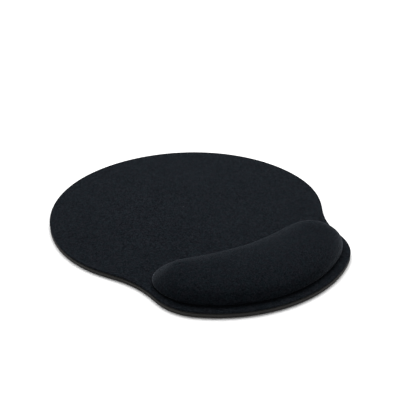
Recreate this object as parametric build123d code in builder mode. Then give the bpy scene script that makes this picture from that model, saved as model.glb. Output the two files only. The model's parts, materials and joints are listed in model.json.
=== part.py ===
"""Mouse mat with a built-in wrist rest: a round mat of knitted cloth on a foam-rubber base,
with a kidney-shaped gel cushion along the edge nearest the user.

Millimetres. +Z is up, +Y points away from the user, +X to the user's right. The origin is at
the middle of the mat's outline, on the surface that the mat lies on.

Layers, from the desk up: base sheet, bonding film, cloth backing film, face cloth. The two
upper ones rise over the wrist rest, where they hold the gel and the sheet that closes it in.
"""

import math
import os

from build123d import *

# Overall size of the mat in plan
WIDTH = 220.0
DEPTH = 250.0

# Arcs of the mat's outline, met tangentially from the front centre towards the back: front edge,
# rounded corner beside the wrist rest, waist, straight flank, shoulder up to the widest place,
# side, back. The shoulder's and the back's radii and the flank's length follow from the rest.
FRONT_RADIUS = 104.0
FRONT_TURN = 38.2
CORNER_RADIUS = 39.0
CORNER_TURN = 49.5
WAIST_RADIUS = 70.4
WAIST_TURN = 30.4
SIDE_RADIUS = 106.0
SIDE_TURN = 69.2

# Layer thicknesses
BASE_THICKNESS = 3.0
BOND_THICKNESS = 0.2
BACKING_THICKNESS = 0.5
CLOTH_THICKNESS = 0.8
CLOSING_THICKNESS = 0.4

# The two films stop short of the cut edge, which leaves a fine recessed line round the mat
FILM_SETBACK = 0.6
CLOTH_EDGE_ROUNDING = 0.4
BASE_EDGE_ROUNDING = 0.3

# Wrist rest: its foot runs parallel to the mat's front edge, one rim width inside it
RIM_WIDTH = 6.2
REST_HEIGHT = 15.5
REST_CORNER_RADIUS = 39.3
REST_CORNER_TURN = 46.8
REST_END_RADIUS = 21.5
REST_END_TURN = 111.0
WALL_HEIGHT = 2.5
SHOULDER_LEAN = 35.0
SHOULDER_ROUNDING = 6.0
CROWN_ROUNDING = 20.0
FOOT_ROUNDING = 0.6

# Heights of the layers' upper faces
BOND_TOP = BASE_THICKNESS + BOND_THICKNESS
BACKING_TOP = BOND_TOP + BACKING_THICKNESS
MAT_TOP = BACKING_TOP + CLOTH_THICKNESS
REST_TOP = MAT_TOP + REST_HEIGHT
CLOSING_TOP = BOND_TOP + CLOSING_THICKNESS


def polar(radius: float, heading: float) -> Vector:
    """A step of the given length along a heading, in degrees from +X."""
    return Vector(radius, 0).rotate(Axis.Z, heading)


def outline_arcs(flank: float) -> tuple[float, float, float]:
    """Radii of the shoulder and back arcs, and the back's Y, for a straight flank of this length.

    The shoulder arc ends on X = WIDTH / 2, heading straight back, and the back arc is centred on X = 0.
    """
    heading = FRONT_TURN
    point = Vector(0, FRONT_RADIUS - DEPTH / 2) + polar(FRONT_RADIUS, heading - 90)
    centre = point + polar(CORNER_RADIUS, heading + 90)
    heading += CORNER_TURN
    point = centre + polar(CORNER_RADIUS, heading - 90)
    centre = point + polar(WAIST_RADIUS, heading - 90)
    heading -= WAIST_TURN
    point = centre + polar(WAIST_RADIUS, heading + 90) + polar(flank, heading)
    shoulder_radius = (WIDTH / 2 - point.X) / (1 - math.sin(math.radians(heading)))
    widest_y = point.Y + shoulder_radius * math.cos(math.radians(heading))
    point = Vector(WIDTH / 2 - SIDE_RADIUS, widest_y) + polar(SIDE_RADIUS, SIDE_TURN)
    back_radius = point.X / math.cos(math.radians(SIDE_TURN))
    back_y = point.Y + back_radius * (1 - math.sin(math.radians(SIDE_TURN)))
    return shoulder_radius, back_radius, back_y


def mat_profile() -> Sketch:
    """The mat's outline, symmetric about the Y axis and tangent all round."""
    # The back's Y grows linearly with the flank, so two trial lengths give the one that fits DEPTH
    shortest, longer = outline_arcs(0.0)[2], outline_arcs(1.0)[2]
    flank = (DEPTH / 2 - shortest) / (longer - shortest)
    shoulder_radius, back_radius, _ = outline_arcs(flank)
    shoulder_turn = 90 - (FRONT_TURN + CORNER_TURN - WAIST_TURN)
    with BuildSketch() as profile:
        with BuildLine():
            front = JernArc((0, -DEPTH / 2), (1, 0), FRONT_RADIUS, FRONT_TURN)
            corner = JernArc(front @ 1, front % 1, CORNER_RADIUS, CORNER_TURN)
            waist = JernArc(corner @ 1, corner % 1, WAIST_RADIUS, -WAIST_TURN)
            straight = PolarLine(waist @ 1, flank, direction=waist % 1)
            shoulder = JernArc(straight @ 1, straight % 1, shoulder_radius, shoulder_turn)
            side = JernArc(shoulder @ 1, shoulder % 1, SIDE_RADIUS, SIDE_TURN)
            back = JernArc(side @ 1, side % 1, back_radius, 90 - SIDE_TURN)
            Line(back @ 1, (0, -DEPTH / 2))
        make_face()
        mirror(about=Plane.YZ)
    return profile.sketch


def rest_profile() -> Sketch:
    """The wrist rest's foot: a kidney whose front is parallel to the mat's and whose back is hollow."""
    hollow_turn = FRONT_TURN + REST_CORNER_TURN + REST_END_TURN - 180
    with BuildSketch() as profile:
        with BuildLine():
            start = (0, RIM_WIDTH - DEPTH / 2)
            front = JernArc(start, (1, 0), FRONT_RADIUS - RIM_WIDTH, FRONT_TURN)
            corner = JernArc(front @ 1, front % 1, REST_CORNER_RADIUS, REST_CORNER_TURN)
            end = JernArc(corner @ 1, corner % 1, REST_END_RADIUS, REST_END_TURN)
            hollow_radius = (end @ 1).X / math.sin(math.radians(hollow_turn))
            hollow = JernArc(end @ 1, end % 1, hollow_radius, -hollow_turn)
            Line(hollow @ 1, start)
        make_face()
        mirror(about=Plane.YZ)
    return profile.sketch


def cushion(bottom: float, inset: float) -> Part:
    """The wrist rest as a solid, from a level up to its crown, everywhere this far inside the cloth's face.

    A short upright wall, a leaning shoulder and a broad rounded crown. Moving the faces in by
    the inset lowers the line between wall and shoulder by inset * tan(lean / 2).
    """
    wall_top = MAT_TOP + WALL_HEIGHT - inset * math.tan(math.radians(SHOULDER_LEAN / 2))
    crown_top = REST_TOP - inset
    with BuildPart() as solid:
        with BuildSketch(Plane.XY.offset(bottom)):
            offset(rest_profile(), amount=-inset) if inset else add(rest_profile())
        extrude(amount=wall_top - bottom)
        extrude(solid.faces().sort_by(Axis.Z)[-1], amount=crown_top - wall_top, taper=SHOULDER_LEAN)
        crown = solid.faces().sort_by(Axis.Z)[-1]
        fillet(crown.edges(), CROWN_ROUNDING - inset)
        shoulder = solid.edges().filter_by_position(Axis.Z, wall_top - 0.01, wall_top + 0.01)
        fillet(shoulder, SHOULDER_ROUNDING - inset)
    return solid.part


def sheet(bottom: float, thickness: float, setback: float) -> Part:
    """A flat layer of the mat, cut this far inside the mat's outline."""
    with BuildPart() as solid:
        with BuildSketch(Plane.XY.offset(bottom)):
            offset(mat_profile(), amount=-setback) if setback else add(mat_profile())
        extrude(amount=thickness)
    return solid.part


os.makedirs("parts", exist_ok=True)

# Base sheet: die-cut foam rubber that grips the desk
with BuildPart() as base_sheet:
    add(sheet(0, BASE_THICKNESS, 0))
    rims = base_sheet.faces().filter_by(Axis.Z).edges()
    fillet(rims, BASE_EDGE_ROUNDING)
base_sheet.part.label = "base_sheet"

# Bonding film: hot-melt sheet between the base and everything above it
with BuildPart() as bond_film:
    add(sheet(BASE_THICKNESS, BOND_THICKNESS, FILM_SETBACK))
bond_film.part.label = "bond_film"

# Cloth backing film: moulded with the face cloth, and holds the gel in the rest
with BuildPart() as cloth_backing:
    add(sheet(BOND_TOP, BACKING_THICKNESS, FILM_SETBACK))
    add(cushion(BOND_TOP, CLOTH_THICKNESS))
    add(cushion(BOND_TOP, CLOTH_THICKNESS + BACKING_THICKNESS), mode=Mode.SUBTRACT)
cloth_backing.part.label = "cloth_backing"

# Face cloth: one knitted sheet over the mat and the rest, with a softened cut edge
with BuildPart() as face_cloth:
    add(sheet(BACKING_TOP, CLOTH_THICKNESS, 0))
    glide_face = face_cloth.faces().sort_by(Axis.Z)[-1]
    fillet(glide_face.edges(), CLOTH_EDGE_ROUNDING)
    add(cushion(BACKING_TOP, 0))
    crease = face_cloth.edges().filter_by(
        lambda edge: abs(edge.center().Z - MAT_TOP) < 0.01 and edge.length > 1
    ).filter_by(lambda edge: edge.is_interior)
    fillet(crease, FOOT_ROUNDING)
    add(cushion(BACKING_TOP, CLOTH_THICKNESS), mode=Mode.SUBTRACT)
face_cloth.part.label = "face_cloth"

# Closing sheet: shuts the gel in from below
with BuildPart() as gel_closing_sheet:
    with BuildSketch(Plane.XY.offset(BOND_TOP)):
        offset(rest_profile(), amount=-CLOTH_THICKNESS - BACKING_THICKNESS)
    extrude(amount=CLOSING_THICKNESS)
gel_closing_sheet.part.label = "gel_closing_sheet"

# Gel core: fills the wrist rest
with BuildPart() as gel_core:
    add(cushion(CLOSING_TOP, CLOTH_THICKNESS + BACKING_THICKNESS))
gel_core.part.label = "gel_core"

for built in (base_sheet, bond_film, cloth_backing, face_cloth, gel_closing_sheet, gel_core):
    export_step(built.part, f"parts/{built.part.label}.step")
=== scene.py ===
import json
import math

import bmesh
import bpy
import numpy as np
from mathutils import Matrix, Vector
from mathutils.geometry import delaunay_2d_cdt


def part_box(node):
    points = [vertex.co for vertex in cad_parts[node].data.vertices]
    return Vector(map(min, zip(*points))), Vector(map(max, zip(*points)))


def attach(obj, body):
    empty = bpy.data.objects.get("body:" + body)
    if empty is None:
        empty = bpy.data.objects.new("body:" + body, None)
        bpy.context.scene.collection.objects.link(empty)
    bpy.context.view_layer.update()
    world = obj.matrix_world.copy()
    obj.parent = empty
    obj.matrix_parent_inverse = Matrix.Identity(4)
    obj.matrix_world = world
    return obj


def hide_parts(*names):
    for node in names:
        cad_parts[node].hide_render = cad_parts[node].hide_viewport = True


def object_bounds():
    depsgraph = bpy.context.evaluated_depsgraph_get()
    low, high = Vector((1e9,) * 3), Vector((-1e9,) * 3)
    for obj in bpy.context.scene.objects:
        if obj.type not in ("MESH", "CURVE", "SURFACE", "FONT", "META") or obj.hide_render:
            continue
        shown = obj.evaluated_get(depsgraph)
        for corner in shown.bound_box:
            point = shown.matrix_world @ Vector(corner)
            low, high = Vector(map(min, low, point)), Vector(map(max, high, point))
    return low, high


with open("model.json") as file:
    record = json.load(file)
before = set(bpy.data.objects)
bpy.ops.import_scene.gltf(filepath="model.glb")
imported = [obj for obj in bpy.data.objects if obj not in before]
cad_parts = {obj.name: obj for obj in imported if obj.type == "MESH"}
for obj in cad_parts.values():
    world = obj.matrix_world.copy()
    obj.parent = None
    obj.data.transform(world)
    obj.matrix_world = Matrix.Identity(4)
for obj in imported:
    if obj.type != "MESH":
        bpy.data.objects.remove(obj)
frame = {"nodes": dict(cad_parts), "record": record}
cad_low, cad_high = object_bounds()

# A cloth mouse mat with a gel wrist rest moulded in. Metres, in the row's frame: +Z up, +Y away
# from the user, the mat's underside at zero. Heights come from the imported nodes.
MM = 0.001
BASE_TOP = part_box("base_sheet")[1].z
BOND_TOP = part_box("bond_film")[1].z
CLOTH_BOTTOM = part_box("face_cloth")[0].z
REST_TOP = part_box("face_cloth")[1].z
MAT_TOP = next(m for m in frame["record"]["mounts"] if m["name"] == "mouse_surface")["pos_m"][2]
CLOTH_THICKNESS = MAT_TOP - CLOTH_BOTTOM
BACKING_THICKNESS = CLOTH_BOTTOM - BOND_TOP
FILM_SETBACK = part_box("face_cloth")[1].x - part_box("bond_film")[1].x

# Wrist rest: its foot is read from the cloth at FOOT_LEVEL. It is widest at WIDEST_LEVEL above
# the mat and tucks in below. A greater fullness makes a wall steeper, a smaller one slopes it.
FOOT_LEVEL = MAT_TOP + 0.6 * MM
LOBE_RADIUS = 21 * MM
WIDEST_LEVEL = 2.6 * MM
FRONT_FULLNESS = 1.35
END_FULLNESS = 0.7
BACK_FULLNESS = 0.5
FOOT_TUCK = 1.4 * MM
SPINE_STEPS = 44
FAN_STEPS = 24
ARCH_STEPS = 18
START_HEIGHT = 0.96

# Pressure that fills the cushion, and how far it may move a point. The cloth is blown up at
# SIM_SCALE times its size, because the solver is made for pieces of about a metre.
PRESSURE = 0.3
SIM_SCALE = 10.0
SIM_FRAMES = 20
SIM_REACH = 3 * MM

# Mat: points round its outline, its rounded edges, and the spacing of points on its flat face
EDGE_STEPS = 420
EDGE_SMOOTHING = 6
CLOTH_ROUNDING = 0.55 * MM
CLOTH_BEVEL_WIDTH = 0.12 * MM
CLOTH_BEVEL_HEIGHT = 0.14 * MM
BASE_ROUNDING = 0.35 * MM
FLAT_PITCH = 5 * MM

# Rings that keep the flat face flat, by distance from the mat's outline and from the rest's foot
RIM_RINGS = (CLOTH_ROUNDING + 0.4 * MM, 2.2 * MM)
FOOT_RINGS = (2.0 * MM, 0.3 * MM)

# Grip pattern under the base: hexagonal pads in a shallow tray
PAD_PITCH = 6.2 * MM
PAD_GAP = 1.1 * MM
PAD_DEPTH = 0.35 * MM
PAD_DRAFT = 0.2 * MM
TRAY_MARGIN = 4 * MM

# Stitches of the knit, and the mesh attribute that holds where each point lay on the flat cloth
RIB_PITCH = 0.55 * MM
ROW_PITCH = 0.42 * MM
KNIT_PLACE = "knit_place"


# ---------------------------------------------------------------- outlines


def section(node, level):
    """The outermost loop in which a level plane cuts a CAD node: points in order, anticlockwise."""
    mesh = frame["nodes"][node].data
    co = [tuple(v.co) for v in mesh.vertices]
    links = {}
    for face in mesh.polygons:
        ring = [co[i] for i in face.vertices]
        cuts = []
        for a, b in zip(ring, ring[1:] + ring[:1]):
            if (a[2] - level) * (b[2] - level) < 0:
                low, high = sorted((a, b), key=lambda p: (p[2], p[0], p[1]))
                t = (level - low[2]) / (high[2] - low[2])
                cuts.append(tuple(round(low[k] + t * (high[k] - low[k]), 9) for k in (0, 1)))
        if len(cuts) == 2 and cuts[0] != cuts[1]:
            links.setdefault(cuts[0], set()).add(cuts[1])
            links.setdefault(cuts[1], set()).add(cuts[0])
    loops = []
    while links:
        point = next(iter(links))
        loop = []
        while point is not None:
            loop.append(point)
            onward = [p for p in links.pop(point) if p in links]
            point = onward[0] if onward else None
        loops.append(np.array(loop))
    outer = max(loops, key=lambda loop: np.ptp(loop[:, 0]))
    return outer if signed_area(outer) > 0 else outer[::-1]


def signed_area(loop):
    x, y = loop.T
    return 0.5 * float(np.sum(x * np.roll(y, -1) - y * np.roll(x, -1)))


def resample(loop, count):
    """Points at even steps round a closed loop, from its frontmost point at X = 0."""
    off_axis = np.abs(loop[:, 0])
    start = int(np.argmin(4 * off_axis + loop[:, 1]))
    loop = np.roll(loop, -start, axis=0)
    ring = np.vstack([loop, loop[:1]])
    run = np.r_[0, np.cumsum(np.linalg.norm(np.diff(ring, axis=0), axis=1))]
    at = np.linspace(0, run[-1], count, endpoint=False)
    return np.column_stack([np.interp(at, run, ring[:, k]) for k in (0, 1)])


def smooth(loop, passes):
    """Takes the CAD mesh's facets out of a loop of even steps."""
    for _ in range(passes):
        loop = 0.5 * loop + 0.25 * (np.roll(loop, 1, axis=0) + np.roll(loop, -1, axis=0))
    return loop


def inset(loop, distance):
    """The loop moved inwards, or outwards for a negative distance."""
    along = np.roll(loop, -1, axis=0) - np.roll(loop, 1, axis=0)
    along /= np.linalg.norm(along, axis=1)[:, None]
    return loop + distance * np.column_stack([-along[:, 1], along[:, 0]])


def inside(points, loop):
    """Which of the points lie inside a closed loop."""
    hit = np.zeros(len(points), bool)
    for (ax, ay), (bx, by) in zip(loop, np.roll(loop, -1, axis=0)):
        crosses = (points[:, 1] < ay) != (points[:, 1] < by)
        if crosses.any():
            at = ax + (points[:, 1] - ay) * (bx - ax) / (by - ay)
            hit ^= crosses & (points[:, 0] < at)
    return hit


def turned(direction, turn):
    """A direction in plan, turned anticlockwise."""
    x, y = direction
    cosine, sine = math.cos(turn), math.sin(turn)
    return np.array([x * cosine - y * sine, x * sine + y * cosine])


def cast(origin, direction, loop):
    """Where a ray from inside a loop leaves it."""
    a = loop - origin
    b = np.roll(a, -1, axis=0)
    side_a = direction[0] * a[:, 1] - direction[1] * a[:, 0]
    side_b = direction[0] * b[:, 1] - direction[1] * b[:, 0]
    cut = (side_a * side_b <= 0) & (side_a != side_b)
    t = side_a[cut] / (side_a[cut] - side_b[cut])
    along = (a[cut] + t[:, None] * (b[cut] - a[cut])) @ direction
    return origin + along[along > 0].min() * direction


# ---------------------------------------------------------------- mesh helpers


def make_piece(name, points, faces, replaced):
    """A mesh object that rides on the mat and stands for CAD nodes."""
    mesh = bpy.data.meshes.new(name)
    mesh.from_pydata([tuple(p) for p in points], [], faces)
    bm = bmesh.new()
    bm.from_mesh(mesh)
    bmesh.ops.recalc_face_normals(bm, faces=bm.faces)
    bm.to_mesh(mesh)
    bm.free()
    mesh.polygons.foreach_set("use_smooth", [True] * len(mesh.polygons))
    piece = bpy.data.objects.new(name, mesh)
    bpy.context.scene.collection.objects.link(piece)
    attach(piece, "root")
    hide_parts(*replaced)
    return piece


class Surface:
    """Points and faces gathered ring by ring."""

    def __init__(self):
        self.points = []
        self.faces = []

    def ring(self, loop, level):
        """Adds a loop of points at a level, or at one level each, and returns their numbers."""
        first = len(self.points)
        levels = np.broadcast_to(level, len(loop))
        self.points += [(x, y, z) for (x, y), z in zip(loop, levels)]
        return list(range(first, first + len(loop)))

    def join(self, lower, upper):
        """Quads between two rings of the same count."""
        for i in range(len(lower)):
            j = (i + 1) % len(lower)
            self.faces.append((lower[i], lower[j], upper[j], upper[i]))

    def stack(self, steps):
        """Rings joined one after another, from (loop, level) pairs. Returns the first and the last."""
        rings = [self.ring(loop, level) for loop, level in steps]
        for lower, upper in zip(rings, rings[1:]):
            self.join(lower, upper)
        return rings[0], rings[-1]

    def fill(self, outer, holes, level, extra=()):
        """Triangles between an outer ring and the rings of its holes, with extra points inside."""
        numbers = list(outer)
        edges = []
        for ring in [outer, *holes]:
            if ring is not outer:
                numbers += ring
            first = len(numbers) - len(ring)
            edges += [(first + i, first + (i + 1) % len(ring)) for i in range(len(ring))]
        for x, y in extra:
            numbers.append(len(self.points))
            self.points.append((x, y, level))
        flat = [Vector(self.points[n][:2]) for n in numbers]
        made, _, triangles, origin, _, _ = delaunay_2d_cdt(flat, edges, [], 1, 1e-9)
        assert len(made) == len(flat), "two points of a flat fill coincide"
        places = [numbers[o[0]] for o in origin]
        centres = np.array([np.mean([made[i] for i in t], axis=0) for t in triangles])
        loops = [np.array([self.points[n][:2] for n in ring]) for ring in [outer, *holes]]
        keep = inside(centres, loops[0])
        for loop in loops[1:]:
            near = (np.abs(centres - loop.mean(0)) < np.ptp(loop, axis=0)).all(axis=1)
            keep[near] &= ~inside(centres[near], loop)
        self.faces += [tuple(places[i] for i in t) for t, kept in zip(triangles, keep) if kept]


def rounded(loop, radius, top, steps=5):
    """Rings of a rounded upper edge, from the wall to the level face, as (loop, level) pairs."""
    rings = []
    for k in range(steps + 1):
        turn = math.pi / 2 * k / steps
        setback, drop = radius * (1 - math.cos(turn)), radius * (1 - math.sin(turn))
        rings.append((inset(loop, setback), top - drop))
    return rings


# ---------------------------------------------------------------- the wrist rest's shape


def spine_of(foot):
    """Points along the middle of the kidney, from the left lobe's centre to the right one's."""
    tip = foot[np.argmax(foot[:, 0])]
    lobe = np.array([tip[0] - LOBE_RADIUS, tip[1]])
    front, back = (cast(np.array([0, lobe[1]]), np.array([0, s]), foot)[1] for s in (-1.0, 1.0))
    middle = np.array([0, (front + back) / 2])
    rise = lobe[1] - middle[1]
    radius = (lobe[0] ** 2 + rise**2) / (2 * rise)
    centre = middle + (0, radius)
    half_turn = math.asin(lobe[0] / radius)
    turns = np.linspace(-half_turn, half_turn, SPINE_STEPS + 1)
    outward = np.column_stack([np.sin(turns), -np.cos(turns)])
    return centre + radius * outward, outward


def columns_of(foot):
    """Pairs of a foot point and the spine point it leans to, anticlockwise from the left front."""
    spine, outward = spine_of(foot)
    fan = [math.pi * k / FAN_STEPS for k in range(1, FAN_STEPS)]
    front = [(cast(p, n, foot), i) for i, (p, n) in enumerate(zip(spine, outward))]
    right = [(cast(spine[-1], turned(outward[-1], turn), foot), SPINE_STEPS) for turn in fan]
    back = [(cast(spine[i], -outward[i], foot), i) for i in range(SPINE_STEPS, -1, -1)]
    left = [(cast(spine[0], turned(-outward[0], turn), foot), 0) for turn in fan]
    pairs = front + right + back + left
    return np.array([p for p, _ in pairs]), [i for _, i in pairs], spine


def arch_points(feet, leans, spine, height):
    """The cushion as rings from foot to spine, then the spine.

    Each column is a quarter ellipse above the widest line, made squarer at the front and eased to
    a slope at the ends and the back, and tucks in below that line.
    """
    reach = spine[leans] - feet
    inwards = reach / np.linalg.norm(reach, axis=1)[:, None]
    facing = inwards[:, 1:]
    mean_fullness = (FRONT_FULLNESS + BACK_FULLNESS) / 2
    fullness = END_FULLNESS + (FRONT_FULLNESS - BACK_FULLNESS) / 2 * facing
    fullness = fullness + (mean_fullness - END_FULLNESS) * facing**2
    share = WIDEST_LEVEL / height
    sink = share / (1 - share)
    lowest = -math.asin(sink)
    rings = []
    for turn in np.linspace(lowest, math.pi / 2, ARCH_STEPS + 1)[:-1]:
        if turn < 0:
            xy = feet + inwards * FOOT_TUCK * (1 - math.cos(turn)) / (1 - math.cos(lowest))
        else:
            xy = feet + reach * (1 - math.cos(turn)) ** fullness
        level = MAT_TOP + height * (math.sin(turn) + sink) / (1 + sink)
        rings.append(np.column_stack([xy, np.full(len(xy), level)]))
    crest = np.column_stack([spine, np.full(len(spine), MAT_TOP + height)])
    return np.vstack([*rings, crest])


def arch_faces(leans, first=0):
    """Faces of the cushion's rings, then between the last ring and the spine."""
    count = len(leans)
    faces = []
    for k in range(ARCH_STEPS - 1):
        for i in range(count):
            j = (i + 1) % count
            a, b = first + k * count, first + (k + 1) * count
            faces.append((a + i, a + j, b + j, b + i))
    ring, crest = first + (ARCH_STEPS - 1) * count, first + ARCH_STEPS * count
    for i in range(count):
        j = (i + 1) % count
        corners = [ring + i, ring + j, crest + leans[j], crest + leans[i]]
        faces.append(tuple(dict.fromkeys(corners)))
    return faces


def inflate(points, faces, pinned):
    """Blows the cushion up as cloth held along its foot, and returns its points."""
    mesh = bpy.data.meshes.new("inflating")
    mesh.from_pydata([tuple(p * SIM_SCALE) for p in points], [], faces)
    blown = bpy.data.objects.new("inflating", mesh)
    bpy.context.scene.collection.objects.link(blown)
    held = blown.vertex_groups.new(name="held")
    held.add(list(range(pinned)), 1.0, "REPLACE")
    cloth = blown.modifiers.new("cloth", "CLOTH")
    cloth.settings.effector_weights.gravity = 0
    cloth.settings.vertex_group_mass = "held"
    cloth.settings.use_pressure = True
    cloth.settings.uniform_pressure_force = PRESSURE
    cloth.settings.quality = 8
    scene = bpy.context.scene
    for step in range(1, SIM_FRAMES + 1):
        scene.frame_set(step)
    shape = blown.evaluated_get(bpy.context.evaluated_depsgraph_get()).to_mesh()
    moved = np.array([v.co for v in shape.vertices]) / SIM_SCALE
    scene.frame_set(1)
    bpy.data.objects.remove(blown)
    step = moved - points
    length = np.linalg.norm(step, axis=1)[:, None]
    return points + step * np.minimum(1, SIM_REACH / np.maximum(length, 1e-9))


# ---------------------------------------------------------------- outlines of this mat

edge = smooth(resample(section("base_sheet", BASE_TOP / 2), EDGE_STEPS), EDGE_SMOOTHING)
foot_line = smooth(resample(section("face_cloth", FOOT_LEVEL), EDGE_STEPS), EDGE_SMOOTHING)
feet, leans, spine = columns_of(foot_line)
columns = len(feet)


# ---------------------------------------------------------------- the cushion's outer shape


def shape_dome():
    """The cushion's face under pressure, its crown brought to the CAD's height."""
    height = REST_TOP - MAT_TOP
    points = arch_points(feet, leans, spine, START_HEIGHT * height)
    points = inflate(points, arch_faces(leans), columns)
    points[:, 2] = MAT_TOP + (points[:, 2] - MAT_TOP) * height / (points[:, 2].max() - MAT_TOP)
    return points


def normals_of(points):
    """Outward directions at the cushion's points, level along its foot."""
    mesh = bpy.data.meshes.new("normals")
    mesh.from_pydata([tuple(p) for p in points], [], arch_faces(leans))
    found = np.array([v.normal for v in mesh.vertices])
    bpy.data.meshes.remove(mesh)
    found[:columns, 2] = 0
    return found / np.linalg.norm(found, axis=1)[:, None]


dome = shape_dome()
dome_normals = normals_of(dome)


# ---------------------------------------------------------------- pieces


def flat_points(margin, around):
    """An even triangular grid over the mat, clear of its edge and of a ring round the rest."""
    xs = np.arange(cad_low.x, cad_high.x, FLAT_PITCH)
    ys = np.arange(cad_low.y, cad_high.y, FLAT_PITCH * math.sqrt(3) / 2)
    grid = np.array([(x + FLAT_PITCH / 2 * (row % 2), y) for row, y in enumerate(ys) for x in xs])
    return grid[inside(grid, inset(edge, margin)) & ~inside(grid, inset(dome[:columns, :2], -around))]


def add_dome(made, ring, points):
    """Adds a skin of the cushion above a ring round its foot, and returns its first point's number."""
    first = len(made.points)
    made.points += [tuple(p) for p in points]
    made.join(ring, list(range(first, first + columns)))
    made.faces += arch_faces(leans, first)
    return first


def add_lining(made, depth, level):
    """Adds a skin this far inside the cushion's face, from a ring at a level up. Returns the ring."""
    points = dome - depth * dome_normals
    ring = made.ring(points[:columns, :2], level)
    add_dome(made, ring, points)
    return ring


def make_cover():
    """The knitted face cloth: one sheet over the mat and the cushion, with a rounded cut edge."""
    made = Surface()
    wall = [(inset(edge, CLOTH_BEVEL_WIDTH), CLOTH_BOTTOM), (edge, CLOTH_BOTTOM + CLOTH_BEVEL_HEIGHT)]
    crown = rounded(edge, CLOTH_ROUNDING, MAT_TOP)
    rim = [(inset(edge, distance), MAT_TOP) for distance in RIM_RINGS]
    lowest, top = made.stack([*wall, *crown, *rim])
    root = dome[:columns, :2]
    outer, inner = made.stack([(inset(root, -distance), MAT_TOP) for distance in FOOT_RINGS])
    made.fill(top, [outer], MAT_TOP, flat_points(FLAT_PITCH, FLAT_PITCH))
    first = add_dome(made, inner, dome)
    under = add_lining(made, CLOTH_THICKNESS, CLOTH_BOTTOM)
    made.fill(lowest, [under], CLOTH_BOTTOM)
    cover = make_piece("cover", made.points, made.faces, ["face_cloth"])
    knit = cover.data.attributes.new(KNIT_PLACE, "FLOAT_VECTOR", "POINT")
    places = np.array([(x, y, 0) for x, y, _ in made.points])
    places[first : first + len(dome), :2] = knit_places()
    knit.data.foreach_set("vector", places.ravel())
    cover.data.materials.append(knit_cloth())


def knit_places():
    """Where on the flat knit each of the cushion's points came from: it is stretched evenly over it."""
    rings = dome[: ARCH_STEPS * columns].reshape(ARCH_STEPS, columns, 3)
    rings = np.vstack([rings, dome[ARCH_STEPS * columns :][leans][None]])
    run = np.cumsum(np.linalg.norm(np.diff(rings, axis=0), axis=2), axis=0)
    share = np.vstack([np.zeros((1, columns)), run / run[-1]])[:-1, :, None]
    places = feet + share * (spine[leans] - feet)
    return np.vstack([places.reshape(-1, 2), spine])


def make_backing():
    """The film behind the cloth, which follows it over the cushion."""
    made = Surface()
    rim = inset(edge, FILM_SETBACK)
    lowest, top = made.stack([(rim, BOND_TOP), (rim, CLOTH_BOTTOM)])
    over = add_lining(made, CLOTH_THICKNESS, CLOTH_BOTTOM)
    made.fill(top, [over], CLOTH_BOTTOM)
    under = add_lining(made, CLOTH_THICKNESS + BACKING_THICKNESS, BOND_TOP)
    made.fill(lowest, [under], BOND_TOP)
    backing = make_piece("backing_film", made.points, made.faces, ["cloth_backing"])
    backing.data.materials.append(film("backing_film", 0.012, 0.55))


def make_gel():
    """The gel that fills the cushion, flat where it rests on its closing sheet."""
    made = Surface()
    floor_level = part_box("gel_closing_sheet")[1].z
    ring = add_lining(made, CLOTH_THICKNESS + BACKING_THICKNESS, floor_level)
    made.fill(ring, [], floor_level)
    gel = make_piece("gel_cushion", made.points, made.faces, ["gel_core"])
    gel.data.materials.append(gel_stuff())


def hexagon(centre, radius):
    turns = [math.pi / 3 * k + math.pi / 6 for k in range(6)]
    return np.array([(centre[0] + radius * math.cos(a), centre[1] + radius * math.sin(a)) for a in turns])


def make_base():
    """The foam-rubber base: a die-cut wall, and rows of grip pads moulded in a tray underneath."""
    made = Surface()
    tray = [(inset(edge, TRAY_MARGIN + PAD_DRAFT), PAD_DEPTH), (inset(edge, TRAY_MARGIN), 0)]
    foot = [(inset(edge, BASE_ROUNDING), 0), (inset(edge, 0.3 * BASE_ROUNDING), 0.3 * BASE_ROUNDING)]
    wall = [(edge, BASE_ROUNDING), *rounded(edge, BASE_ROUNDING, BASE_TOP)]
    first, last = made.stack([*tray, *foot, *wall])
    made.fill(last, [], BASE_TOP)
    xs = np.arange(cad_low.x, cad_high.x, PAD_PITCH)
    ys = np.arange(cad_low.y, cad_high.y, PAD_PITCH * math.sqrt(3) / 2)
    centres = np.array([(x + PAD_PITCH / 2 * (row % 2), y) for row, y in enumerate(ys) for x in xs])
    radius = (PAD_PITCH - PAD_GAP) / math.sqrt(3)
    reach = TRAY_MARGIN + PAD_DRAFT + PAD_PITCH / 2 + PAD_GAP
    pads = []
    for centre in centres[inside(centres, inset(edge, reach))]:
        wide, narrow = hexagon(centre, radius), hexagon(centre, radius - PAD_DRAFT)
        root, tip = made.stack([(wide, PAD_DEPTH), (narrow, 0)])
        made.faces.append(tuple(tip))
        pads.append(root)
    made.fill(first, pads, PAD_DEPTH)
    base = make_piece("base", made.points, made.faces, ["base_sheet"])
    base.data.materials.append(foam_rubber())


# ---------------------------------------------------------------- materials

# Flecks and lint of the knit: the flecks' density and contrast, the share of broad clouds in the
# yarn's tone, and how rare and how large the lint is, as shares of its cells
FLECK_SCALE = 1000.0
FLAT_CONTRAST = 1.1
STRETCHED_CONTRAST = 0.9
STRETCHED_LEVEL = MAT_TOP + 4 * MM
CLOUD_SHARE = 0.08
LINT_RARITY = 0.86
LINT_RADIUS = 0.045

# Depth of the stitches and of the nap on them
STITCH_DEPTH = 0.12 * MM
NAP_DEPTH = 0.2 * MM

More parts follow.
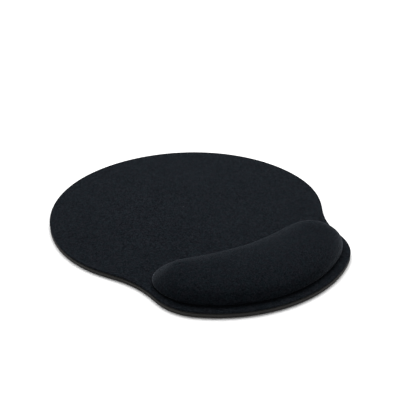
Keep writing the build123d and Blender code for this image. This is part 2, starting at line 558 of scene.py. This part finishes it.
# Colour ramps, as (position, colour) stops, and single colours
YARN_TONES = [
    (0.3, (0.0012, 0.0017, 0.0025)),
    (0.5, (0.0066, 0.0082, 0.0105)),
    (0.7, (0.0144, 0.0170, 0.0208)),
]
YARN_TINTS = [(0.38, (0.92, 1.03, 1.02)), (0.62, (1.09, 0.98, 1.0))]
LINT_COLOUR = (0.05, 0.052, 0.056, 1)
RUBBER_TONES = [(0.3, (0.014, 0.0134, 0.0122)), (0.7, (0.024, 0.0229, 0.021))]
GEL_TONES = [(0.3, (0.22, 0.28, 0.34)), (0.7, (0.32, 0.38, 0.43))]


def new_material(name):
    """An empty node material and a function that adds a node with its settings and inputs."""
    material = bpy.data.materials.new(name)
    material.use_nodes = True
    tree = material.node_tree
    shader = tree.nodes["Principled BSDF"]

    def add(kind, inputs=(), **settings):
        node = tree.nodes.new(kind)
        for key, value in settings.items():
            setattr(node, key, value)
        for key, value in dict(inputs).items():
            if isinstance(value, bpy.types.NodeSocket):
                tree.links.new(value, node.inputs[key])
            else:
                node.inputs[key].default_value = value
        return node

    return material, shader, add


def math_node(add, operation, *values):
    return add("ShaderNodeMath", enumerate(values), operation=operation).outputs[0]


def ramp(add, factor, stops):
    """A colour ramp through (position, colour) stops."""
    node = add("ShaderNodeValToRGB", {"Fac": factor})
    elements = node.color_ramp.elements
    while len(elements) < len(stops):
        elements.new(0.5)
    for element, (position, colour) in zip(elements, stops):
        element.position = position
        element.color = (*colour, 1)
    return node.outputs["Color"]


def knit_height(add):
    """Height of a fine jersey: rows of V stitches in ribs, from where the cloth's points lay flat."""
    place = add("ShaderNodeAttribute", attribute_name=KNIT_PLACE).outputs["Vector"]
    split = add("ShaderNodeSeparateXYZ", {0: place})
    rib = math_node(add, "DIVIDE", split.outputs["X"], RIB_PITCH)
    across = math_node(add, "PINGPONG", rib, 0.5)
    row = math_node(add, "DIVIDE", split.outputs["Y"], ROW_PITCH)
    slanted = math_node(add, "ADD", row, across)
    stitch = math_node(add, "PINGPONG", slanted, 0.5)
    ridge = math_node(add, "SINE", math_node(add, "MULTIPLY", across, 2 * math.pi))
    rows, ribs = math_node(add, "MULTIPLY", stitch, 1.2), math_node(add, "MULTIPLY", ridge, 0.5)
    return math_node(add, "ADD", rows, ribs)


def fleck_of(add, spot, cloud):
    """The yarn's speckle, and its tone as a ramp position, less varied where the cloth is stretched."""
    grain = {"Vector": spot, "Scale": FLECK_SCALE, "Detail": 2.0, "Roughness": 0.75}
    speckle = add("ShaderNodeTexNoise", grain).outputs["Fac"]
    level = add("ShaderNodeSeparateXYZ", {0: spot}).outputs["Z"]
    levels = {"Value": level, "From Min": MAT_TOP, "From Max": STRETCHED_LEVEL}
    contrasts = {"To Min": FLAT_CONTRAST, "To Max": STRETCHED_CONTRAST}
    contrast = add("ShaderNodeMapRange", {**levels, **contrasts}).outputs[0]
    centred = math_node(add, "SUBTRACT", speckle, 0.5)
    fleck = math_node(add, "MULTIPLY", centred, contrast)
    raised = math_node(add, "ADD", fleck, 0.5 * (1 - CLOUD_SHARE))
    return speckle, math_node(add, "MULTIPLY_ADD", cloud, CLOUD_SHARE, raised)


def lint_of(add, spot):
    """1 on rare small specks, 0 elsewhere."""
    cells = add("ShaderNodeTexVoronoi", {"Vector": spot, "Scale": 95.0})
    draw = add("ShaderNodeSeparateColor", {0: cells.outputs["Color"]}).outputs[0]
    rare = math_node(add, "GREATER_THAN", draw, LINT_RARITY)
    near = math_node(add, "LESS_THAN", cells.outputs["Distance"], LINT_RADIUS)
    return math_node(add, "MULTIPLY", rare, near)


def knit_cloth():
    """Black stretch knit: bluish yarn of uneven tone, fine stitches with painted shade in their grooves,
    soft fuzz and a little lint.
    """
    material, shader, add = new_material("knit_cloth")
    spot = add("ShaderNodeTexCoord").outputs["Object"]
    noise = add("ShaderNodeTexNoise", {"Vector": spot, "Scale": 45.0, "Detail": 3.0, "Roughness": 0.55})
    cloud = noise.outputs["Fac"]
    height = knit_height(add)
    speckle, tone = fleck_of(add, spot, cloud)
    yarn = ramp(add, tone, YARN_TONES)
    drift = add("ShaderNodeTexNoise", {"Vector": spot, "Scale": 380.0, "Detail": 1.0})
    tint = ramp(add, drift.outputs["Fac"], YARN_TINTS)
    dyed = add("ShaderNodeVectorMath", {0: yarn, 1: tint}, operation="MULTIPLY").outputs[0]
    # Painted shade: the yarn's colour is darkened where the stitch height is low, in the grooves between
    # stitches
    shade = math_node(add, "MULTIPLY_ADD", height, 0.5, 0.72)
    groove_shaded = add("ShaderNodeVectorMath", {0: dyed, "Scale": shade}, operation="SCALE").outputs[0]
    lint = lint_of(add, spot)
    linted = add("ShaderNodeMixRGB", {"Fac": lint, "Color1": groove_shaded, "Color2": LINT_COLOUR})
    loops = {"Strength": 0.6, "Distance": STITCH_DEPTH, "Height": height}
    stitches = add("ShaderNodeBump", loops).outputs[0]
    nap = {"Strength": 0.08, "Distance": NAP_DEPTH, "Height": speckle, "Normal": stitches}
    fuzz = add("ShaderNodeBump", nap)
    rough = math_node(add, "MULTIPLY_ADD", cloud, 0.2, 0.75)
    links = material.node_tree.links
    links.new(linted.outputs[0], shader.inputs["Base Color"])
    links.new(fuzz.outputs[0], shader.inputs["Normal"])
    links.new(rough, shader.inputs["Roughness"])
    shader.inputs["Sheen Weight"].default_value = 0.165
    shader.inputs["Sheen Roughness"].default_value = 0.3
    shader.inputs["Sheen Tint"].default_value = (0.8, 0.88, 1.0, 1)
    shader.inputs["Specular IOR Level"].default_value = 0.0
    return material


def foam_rubber():
    """Closed-cell foam rubber: warm black, faintly mottled, with cut cells."""
    material, shader, add = new_material("foam_rubber")
    spot = add("ShaderNodeTexCoord").outputs["Object"]
    cloud = add("ShaderNodeTexNoise", {"Vector": spot, "Scale": 220.0, "Detail": 4.0, "Roughness": 0.6})
    cells = add("ShaderNodeTexVoronoi", {"Vector": spot, "Scale": 2600.0})
    tone = ramp(add, cloud.outputs["Fac"], RUBBER_TONES)
    pits = {"Strength": 0.5, "Distance": 0.1 * MM, "Height": cells.outputs["Distance"]}
    bump = add("ShaderNodeBump", pits)
    rough = math_node(add, "MULTIPLY_ADD", cloud.outputs["Fac"], 0.25, 0.6)
    links = material.node_tree.links
    links.new(tone, shader.inputs["Base Color"])
    links.new(bump.outputs[0], shader.inputs["Normal"])
    links.new(rough, shader.inputs["Roughness"])
    shader.inputs["Specular IOR Level"].default_value = 0.35
    return material


def film(name, tone, roughness):
    """A black adhesive or barrier film with faint waves in it."""
    material, shader, add = new_material(name)
    spot = add("ShaderNodeTexCoord").outputs["Object"]
    cloud = add("ShaderNodeTexNoise", {"Vector": spot, "Scale": 120.0, "Detail": 3.0})
    colour = ramp(add, cloud.outputs["Fac"], [(0.3, (0.6 * tone,) * 3), (0.7, (1.2 * tone,) * 3)])
    bump = add("ShaderNodeBump", {"Strength": 0.3, "Distance": 0.1 * MM, "Height": cloud.outputs["Fac"]})
    rough = math_node(add, "MULTIPLY_ADD", cloud.outputs["Fac"], 0.2, roughness - 0.1)
    links = material.node_tree.links
    links.new(colour, shader.inputs["Base Color"])
    links.new(bump.outputs[0], shader.inputs["Normal"])
    links.new(rough, shader.inputs["Roughness"])
    return material


def gel_stuff():
    """Pale blue-grey gel with soft clouds in it."""
    material, shader, add = new_material("gel")
    spot = add("ShaderNodeTexCoord").outputs["Object"]
    cloud = add("ShaderNodeTexNoise", {"Vector": spot, "Scale": 60.0, "Detail": 2.0})
    colour = ramp(add, cloud.outputs["Fac"], GEL_TONES)
    rough = math_node(add, "MULTIPLY_ADD", cloud.outputs["Fac"], 0.15, 0.2)
    links = material.node_tree.links
    links.new(colour, shader.inputs["Base Color"])
    links.new(rough, shader.inputs["Roughness"])
    shader.inputs["Subsurface Weight"].default_value = 0.3
    shader.inputs["Subsurface Scale"].default_value = 3 * MM
    return material


make_cover()
make_backing()
make_gel()
make_base()
for name, tone in (("bond_film", 0.006), ("gel_closing_sheet", 0.02)):
    node = frame["nodes"][name]
    node.data.materials.clear()
    node.data.materials.append(film(name, tone, 0.5))


# ---------------------------------------------------------------- stage, light and camera

AIM = Vector((16.0, 27.9, 4.0)) * MM
AZIMUTH = math.radians(-30.41)
ELEVATION = math.radians(28.45)
DISTANCE = 657 * MM
SENSOR = 36.0
LENS = 72.44
FLOOR_REACH = 12.0
FLOOR_TONE = 0.97
FILL_STRENGTH = 0.3
SOFTBOX_WIDTH = 2.2
SOFTBOX_HEIGHT = 1.6
SOFTBOX_POWER = 61
SOFTBOX_PLACE = Vector((0.45, 0.8, 1.6))


def add_camera():
    data = bpy.data.cameras.new("camera")
    data.sensor_width = SENSOR
    data.lens = LENS
    camera = bpy.data.objects.new("camera", data)
    bpy.context.scene.collection.objects.link(camera)
    level = math.cos(ELEVATION)
    back = Vector((math.sin(AZIMUTH) * level, -math.cos(AZIMUTH) * level, math.sin(ELEVATION)))
    camera.location = AIM + DISTANCE * back
    camera.rotation_mode = "QUATERNION"
    camera.rotation_quaternion = (-back).to_track_quat("-Z", "Y")
    bpy.context.scene.camera = camera


def add_floor():
    mesh = bpy.data.meshes.new("floor")
    corners = [(x * FLOOR_REACH, y * FLOOR_REACH, 0) for x, y in ((-1, -1), (1, -1), (1, 1), (-1, 1))]
    mesh.from_pydata(corners, [], [(0, 1, 2, 3)])
    floor = bpy.data.objects.new("floor", mesh)
    bpy.context.scene.collection.objects.link(floor)
    paint = bpy.data.materials.new("floor")
    paint.use_nodes = True
    shader = paint.node_tree.nodes["Principled BSDF"]
    shader.inputs["Base Color"].default_value = (FLOOR_TONE, FLOOR_TONE, FLOOR_TONE, 1)
    shader.inputs["Roughness"].default_value = 0.9
    shader.inputs["Specular IOR Level"].default_value = 0.1
    mesh.materials.append(paint)


def add_light():
    world = bpy.data.worlds.new("studio")
    world.use_nodes = True
    background = world.node_tree.nodes["Background"]
    background.inputs["Color"].default_value = (1, 1, 1, 1)
    background.inputs["Strength"].default_value = FILL_STRENGTH
    bpy.context.scene.world = world
    lamp = bpy.data.lights.new("softbox", "AREA")
    lamp.shape = "RECTANGLE"
    lamp.size = SOFTBOX_WIDTH
    lamp.size_y = SOFTBOX_HEIGHT
    lamp.energy = SOFTBOX_POWER
    softbox = bpy.data.objects.new("softbox", lamp)
    bpy.context.scene.collection.objects.link(softbox)
    softbox.location = SOFTBOX_PLACE
    softbox.rotation_mode = "QUATERNION"
    softbox.rotation_quaternion = (-SOFTBOX_PLACE).to_track_quat("-Z", "Y")


add_camera()
add_floor()
add_light()
bpy.context.scene.view_settings.view_transform = "Standard"
